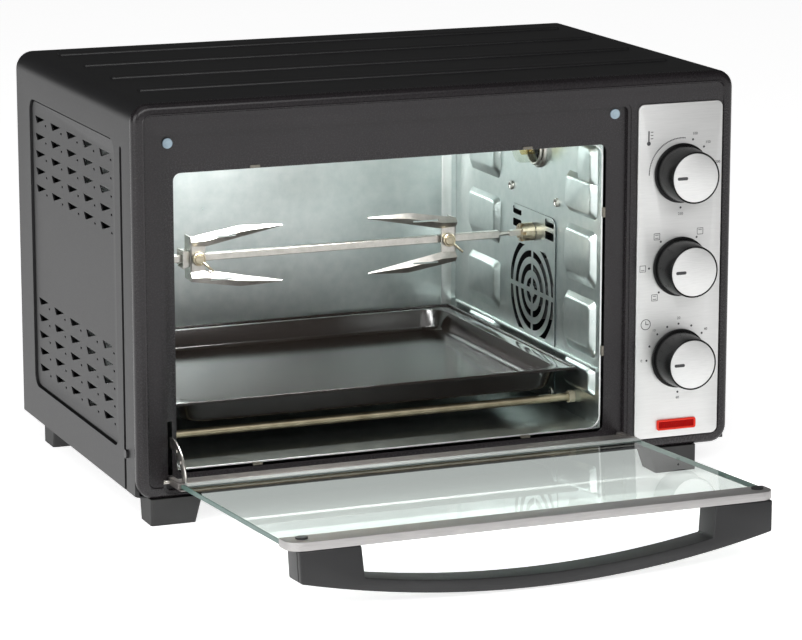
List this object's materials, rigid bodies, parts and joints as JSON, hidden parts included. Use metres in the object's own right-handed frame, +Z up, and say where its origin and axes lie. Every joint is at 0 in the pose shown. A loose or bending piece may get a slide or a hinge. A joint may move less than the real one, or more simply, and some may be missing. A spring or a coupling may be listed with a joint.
{
  "type": "rotisserie oven",
  "caption": "Countertop oven with a drop-down glass door, a motor-driven spit with two forks, a baking tray, a convection fan and rotary controls.",
  "frame": {"origin": "middle of the footprint with the door open, on the surface that the oven stands on", "axes": "+Z up, -Y out of the door, +X to the user's right"},
  "size_m": [0.5036, 0.5918, 0.3243],
  "materials": {
    "black_casing": "satin black powder coat",
    "cavity_steel": "bright galvanised sheet",
    "foot_plastic": "fine moulded texture",
    "handle_plastic": "fine moulded texture",
    "glass_clear": "clear toughened glass",
    "trim_aluminium": "satin rolled",
    "panel_steel": "brushed",
    "knob_plastic": "satin black",
    "indicator_red": "clear red, polished",
    "bright_steel": "bright zinc or nickel plate",
    "brass": "dull",
    "heater_metal": "oxidised tube",
    "ceramic": "unglazed ceramic",
    "enamel": "glossy vitreous enamel",
    "motor_steel": "zinc plate",
    "unit_plastic": "moulded",
    "lamp_white": "clear bulb"
  },
  "bodies": {
    "oven": {"outer_shell": "black_casing", "front_frame": "black_casing", "rear_cover": "black_casing", "base_pan": "black_casing", "cavity_flange": "cavity_steel", "liner_wrap": "cavity_steel", "liner_left_wall": "cavity_steel", "liner_right_wall": "cavity_steel", "fan_cover": "cavity_steel", "foot_front_left": "foot_plastic", "foot_front_right": "foot_plastic", "foot_rear_left": "foot_plastic", "foot_rear_right": "foot_plastic", "lamp_glass": "glass_clear", "control_panel": "panel_steel", "indicator_lens": "indicator_red", "lamp_collar": "bright_steel", "mouth_clips": "bright_steel", "case_screws": "bright_steel", "stay_spring": "bright_steel", "frame_screws": "bright_steel", "control_bracket": "bright_steel", "lower_heaters": "heater_metal", "upper_heaters": "heater_metal", "heater_insulators": "ceramic", "fan_motor": "motor_steel", "spit_motor": "motor_steel", "spit_bearing": "motor_steel", "thermostat_unit": "unit_plastic", "function_unit": "unit_plastic", "timer_unit": "unit_plastic", "cord_gland": "unit_plastic", "lamp_bulb": "lamp_white", "indicator_lamp": "lamp_white"},
    "door": {"door_glass": "glass_clear", "door_bottom_profile": "trim_aluminium", "door_top_trim": "trim_aluminium", "door_handle": "handle_plastic", "handle_screws": "bright_steel", "door_stay": "bright_steel", "hinge_pins": "bright_steel"},
    "spit": {"spit_rod": "bright_steel", "drive_socket": "brass"},
    "fork_left": {"spit_fork_left": "bright_steel"},
    "fork_right": {"spit_fork_right": "bright_steel"},
    "screw_left": {"fork_screw_left": "brass"},
    "screw_right": {"fork_screw_right": "brass"},
    "fan": {"fan_impeller": "motor_steel"},
    "thermostat": {"thermostat_knob": "knob_plastic", "thermostat_knob_cap": "panel_steel", "thermostat_shaft": "bright_steel"},
    "function": {"function_knob": "knob_plastic", "function_knob_cap": "panel_steel", "function_shaft": "bright_steel"},
    "timer": {"timer_knob": "knob_plastic", "timer_knob_cap": "panel_steel", "timer_shaft": "bright_steel"},
    "tray": {"baking_tray": "enamel"}
  },
  "joints": [
    {"name": "door_hinge", "type": "hinge", "parent": "oven", "child": "door", "pos_m": [-0.035, -0.0315, 0.0335], "axis": [-1, 0, 0], "range_deg": [0, 86.5]},
    {"name": "spit_turn", "type": "hinge", "parent": "oven", "child": "spit", "pos_m": [-0.05, 0.1079, 0.177], "axis": [1, 0, 0], "continuous": true},
    {"name": "fork_left_slide", "type": "slide", "parent": "spit", "child": "fork_left", "axis": [1, 0, 0], "range_m": [-0.03, 0.06]},
    {"name": "fork_right_slide", "type": "slide", "parent": "spit", "child": "fork_right", "axis": [1, 0, 0], "range_m": [-0.06, 0.03]},
    {"name": "fork_left_screw_turn", "type": "hinge", "parent": "fork_left", "child": "screw_left", "pos_m": [-0.155, 0.0999, 0.177], "axis": [0, 1, 0], "continuous": true},
    {"name": "fork_right_screw_turn", "type": "hinge", "parent": "fork_right", "child": "screw_right", "pos_m": [0.06, 0.0999, 0.177], "axis": [0, 1, 0], "continuous": true},
    {"name": "fan_turn", "type": "hinge", "parent": "oven", "child": "fan", "pos_m": [0.15, 0.1079, 0.127], "axis": [1, 0, 0], "continuous": true},
    {"name": "thermostat_turn", "type": "hinge", "parent": "oven", "child": "thermostat", "pos_m": [0.204, -0.0441, 0.2445], "axis": [0, 1, 0], "range_deg": [0, 270]},
    {"name": "function_turn", "type": "hinge", "parent": "oven", "child": "function", "pos_m": [0.204, -0.0441, 0.169], "axis": [0, 1, 0], "range_deg": [0, 180]},
    {"name": "timer_turn", "type": "hinge", "parent": "oven", "child": "timer", "pos_m": [0.204, -0.0441, 0.094], "axis": [0, 1, 0], "range_deg": [0, 320]},
    {"name": "tray_slide", "type": "slide", "parent": "oven", "child": "tray", "axis": [0, -1, 0], "range_m": [0, 0.03]}
  ]
}
